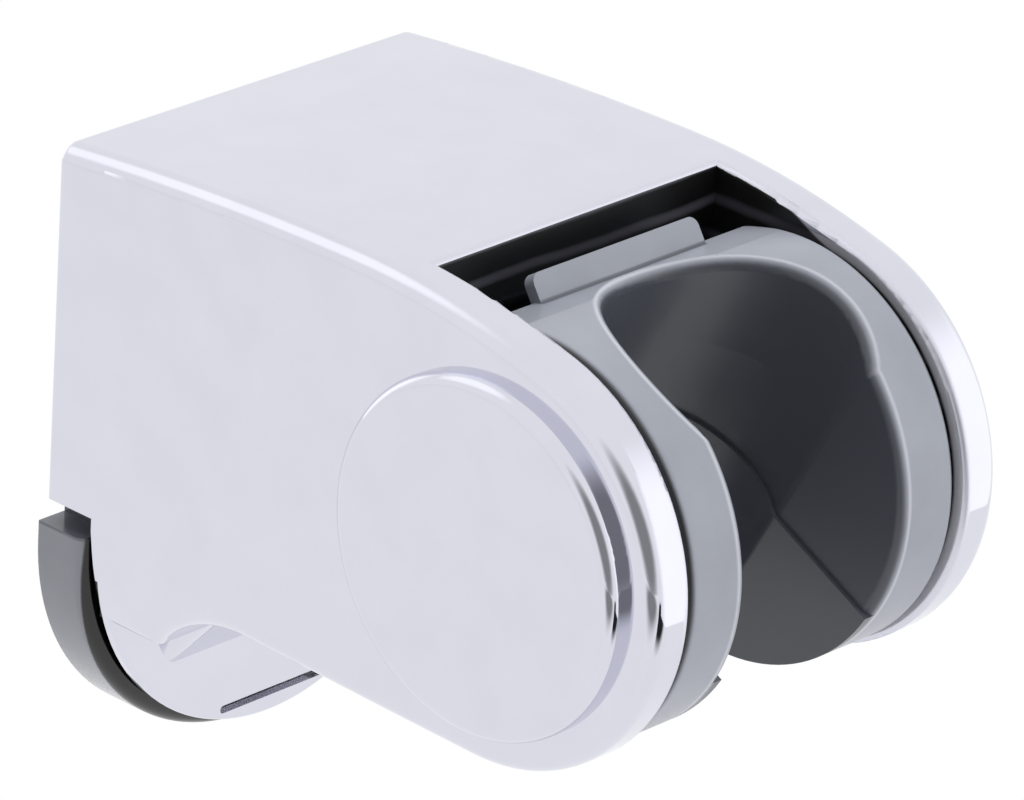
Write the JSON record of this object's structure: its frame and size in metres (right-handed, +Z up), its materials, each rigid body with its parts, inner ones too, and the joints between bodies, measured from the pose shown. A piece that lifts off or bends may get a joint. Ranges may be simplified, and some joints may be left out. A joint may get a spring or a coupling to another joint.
{
  "type": "hand shower holder",
  "caption": "Chromed wall-mounted housing with rounded arms and a tilting grey cradle between them, whose slotted taper socket takes a hand shower.",
  "frame": {"origin": "on the wall face, midway between the wall screw holes, level with the tilt axis", "axes": "+Z up, +Y into the wall, X along the wall; the cradle faces -Y"},
  "size_m": [0.0488, 0.074, 0.0634],
  "materials": {
    "chromed_abs": "bright chrome plating over moulded ABS",
    "grey_abs": "moulded ABS, fine satin",
    "plated_steel": "zinc-plated machine screw",
    "spring_steel": "hardened and oiled strip",
    "acetal": "moulded acetal, natural white",
    "turned_brass": "turned"
  },
  "bodies": {
    "bracket": {"housing": "chromed_abs", "cap_left": "chromed_abs", "cap_right": "chromed_abs", "wall_plate": "grey_abs", "lock_insert": "turned_brass", "lock_screw": "plated_steel"},
    "cradle": {"cradle": "grey_abs", "pivot_screw_left": "plated_steel", "pivot_screw_right": "plated_steel", "disc_spring_left": "spring_steel", "disc_spring_right": "spring_steel", "friction_washer_left": "acetal", "friction_washer_right": "acetal", "pivot_insert_left": "turned_brass", "pivot_insert_right": "turned_brass"}
  },
  "joints": [
    {"name": "cradle_tilt", "type": "hinge", "parent": "bracket", "child": "cradle", "pos_m": [0, -0.0542, 0], "axis": [1, 0, 0], "range_deg": [-5, 40]}
  ]
}
